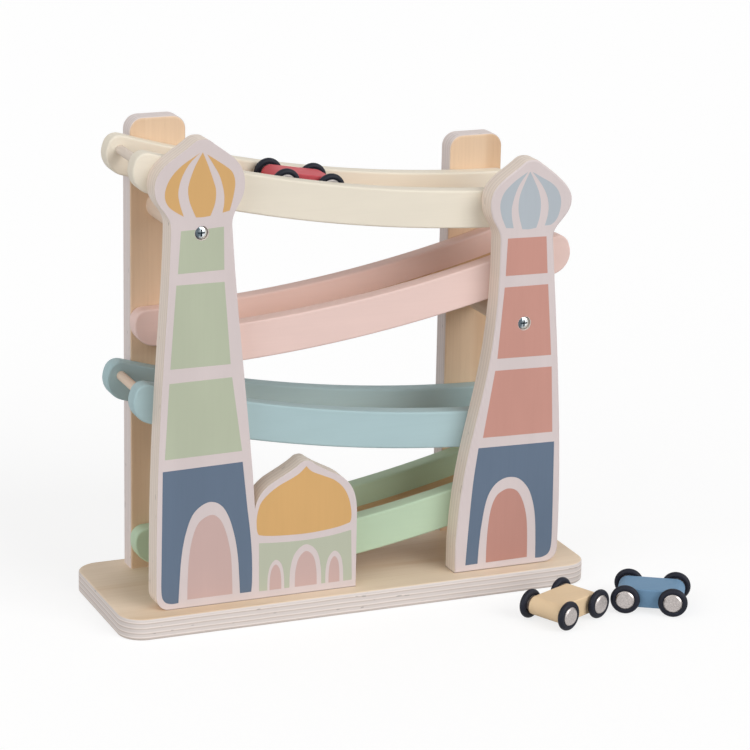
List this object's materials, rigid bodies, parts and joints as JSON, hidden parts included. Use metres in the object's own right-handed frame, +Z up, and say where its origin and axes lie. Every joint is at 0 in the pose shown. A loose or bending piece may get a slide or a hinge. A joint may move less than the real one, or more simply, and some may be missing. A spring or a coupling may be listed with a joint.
{
  "type": "click clack track toy",
  "caption": "Wooden click clack track: toy cars roll down zig-zag curved ramps held between painted tower boards and posts on a plywood base.",
  "frame": {"origin": "middle of the base board's underside, on the table", "axes": "+X along the base board from the tall tower to the short one, +Y from the painted tower boards to the bare posts, +Z up"},
  "size_m": [0.3673, 0.1897, 0.3128],
  "materials": {
    "base_ply": "sanded plywood, clear matt lacquer, whitened edges",
    "post_ply": "sanded plywood, clear matt lacquer, whitened edges",
    "tower_board": "plywood with matt white face, coloured panels, bare edges",
    "cream_rail": "matt cream paint",
    "pink_rail": "matt pale pink paint",
    "sky_rail": "matt pale blue paint",
    "mint_rail": "matt pale green paint",
    "floor_strip": "bent wood strip, clear matt lacquer",
    "bare_dowel": "bare turned dowel",
    "screw_steel": "zinc plated",
    "axle_steel": "drawn rod",
    "hub_metal": "turned, satin",
    "tyre": "round rubber ring, matt",
    "red_paint": "matt red paint",
    "yellow_paint": "matt straw yellow paint",
    "blue_paint": "matt dusty blue paint"
  },
  "bodies": {
    "track": {"base_board": "base_ply", "left_post": "post_ply", "right_post": "post_ply", "left_tower": "tower_board", "right_tower": "tower_board", "left_cross_bar": "bare_dowel", "right_cross_bar": "bare_dowel", "top_front_rail": "cream_rail", "top_back_rail": "cream_rail", "top_floor": "floor_strip", "top_stop": "bare_dowel", "second_front_rail": "pink_rail", "second_back_rail": "pink_rail", "second_floor": "floor_strip", "second_stop": "bare_dowel", "third_front_rail": "sky_rail", "third_back_rail": "sky_rail", "third_floor": "floor_strip", "third_stop": "bare_dowel", "bottom_front_rail": "mint_rail", "bottom_back_rail": "mint_rail", "bottom_floor": "floor_strip", "bottom_stop": "bare_dowel", "tower_screws": "screw_steel", "post_screws": "screw_steel", "base_screws": "screw_steel"},
    "red_car": {"red_body": "red_paint"},
    "red_front_wheels": {"red_front_axle": "axle_steel", "red_front_hubs": "hub_metal", "red_front_tyres": "tyre"},
    "red_rear_wheels": {"red_rear_axle": "axle_steel", "red_rear_hubs": "hub_metal", "red_rear_tyres": "tyre"},
    "yellow_car": {"yellow_body": "yellow_paint"},
    "yellow_front_wheels": {"yellow_front_axle": "axle_steel", "yellow_front_hubs": "hub_metal", "yellow_front_tyres": "tyre"},
    "yellow_rear_wheels": {"yellow_rear_axle": "axle_steel", "yellow_rear_hubs": "hub_metal", "yellow_rear_tyres": "tyre"},
    "blue_car": {"blue_body": "blue_paint"},
    "blue_front_wheels": {"blue_front_axle": "axle_steel", "blue_front_hubs": "hub_metal", "blue_front_tyres": "tyre"},
    "blue_rear_wheels": {"blue_rear_axle": "axle_steel", "blue_rear_hubs": "hub_metal", "blue_rear_tyres": "tyre"}
  },
  "joints": [
    {"name": "red_run", "type": "hinge", "parent": "track", "child": "red_car", "pos_m": [0.13425, 0.00325, 1.17857], "axis": [0, -1, 0], "range_deg": [-5.2, 6.4]},
    {"name": "red_front_roll", "type": "hinge", "parent": "red_car", "child": "red_front_wheels", "pos_m": [-0.01063, 0.00325, 0.26876], "axis": [0, 1, 0], "continuous": true},
    {"name": "red_rear_roll", "type": "hinge", "parent": "red_car", "child": "red_rear_wheels", "pos_m": [-0.04067, 0.00325, 0.27406], "axis": [0, 1, 0], "continuous": true},
    {"name": "yellow_run", "type": "slide", "parent": "track", "child": "yellow_car", "axis": [0.907, 0.421, 0], "range_m": [-0.1, 0]},
    {"name": "yellow_front_roll", "type": "hinge", "parent": "yellow_car", "child": "yellow_front_wheels", "pos_m": [0.13033, -0.09998, 0.0095], "axis": [-0.421, 0.907, 0], "continuous": true},
    {"name": "yellow_rear_roll", "type": "hinge", "parent": "yellow_car", "child": "yellow_rear_wheels", "pos_m": [0.10267, -0.11282, 0.0095], "axis": [-0.421, 0.907, 0], "continuous": true},
    {"name": "blue_run", "type": "slide", "parent": "track", "child": "blue_car", "axis": [0.8517, -0.524, 0], "range_m": [0, 0.1]},
    {"name": "blue_front_roll", "type": "hinge", "parent": "blue_car", "child": "blue_front_wheels", "pos_m": [0.19069, -0.11539, 0.0095], "axis": [0.524, 0.8517, 0], "continuous": true},
    {"name": "blue_rear_roll", "type": "hinge", "parent": "blue_car", "child": "blue_rear_wheels", "pos_m": [0.16471, -0.09941, 0.0095], "axis": [0.524, 0.8517, 0], "continuous": true}
  ],
  "couplings": [
    {"joint": "red_front_roll", "follows": "red_run", "ratio": 97.975},
    {"joint": "red_rear_roll", "follows": "red_run", "ratio": 97.975},
    {"joint": "yellow_front_roll", "follows": "yellow_run", "rad_per_m": 105.26},
    {"joint": "yellow_rear_roll", "follows": "yellow_run", "rad_per_m": 105.26},
    {"joint": "blue_front_roll", "follows": "blue_run", "rad_per_m": 105.26},
    {"joint": "blue_rear_roll", "follows": "blue_run", "rad_per_m": 105.26}
  ]
}
